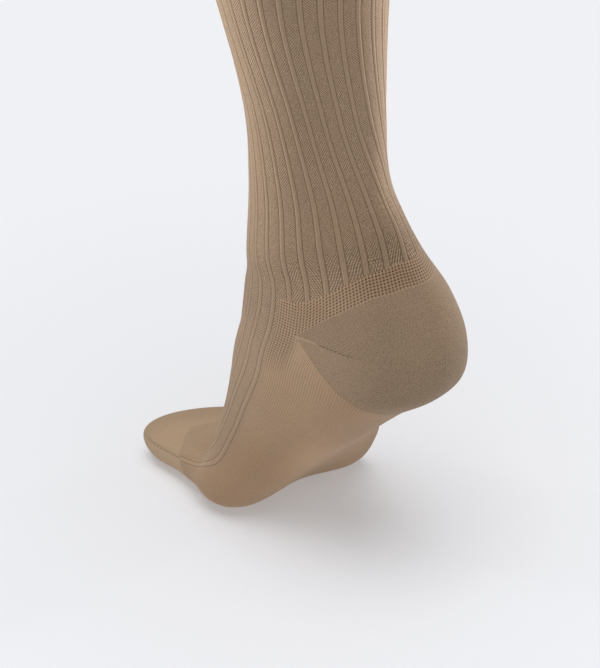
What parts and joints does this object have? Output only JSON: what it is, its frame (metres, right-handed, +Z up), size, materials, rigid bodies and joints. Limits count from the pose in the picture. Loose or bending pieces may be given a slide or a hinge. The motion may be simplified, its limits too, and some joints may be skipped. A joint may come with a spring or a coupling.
{
  "type": "compression stocking",
  "caption": "Hollow knee-high compression stocking with raised ribs, mesh band, heel pocket and toe pocket, shaped as worn on a right foot on tiptoe",
  "frame": {"origin": "the centre of the top opening, where the wearer's leg holds the stocking up", "axes": "+Z up, -Y forward to the toes, +X to the inner side of the right foot, towards the other foot"},
  "size_m": [0.1146, 0.1838, 0.477],
  "materials": {
    "ribbed_knit": "warm beige ribbed knit, matt with a faint sheen",
    "reinforced_knit": "smooth plain reinforced knit, matt",
    "band_knit": "plain doubled band, matt"
  },
  "bodies": {
    "root": {"top_band": "band_knit", "leg": "ribbed_knit", "ankle": "ribbed_knit", "foot": "ribbed_knit", "heel_pocket": "reinforced_knit", "toe_pocket": "reinforced_knit"}
  },
  "joints": []
}
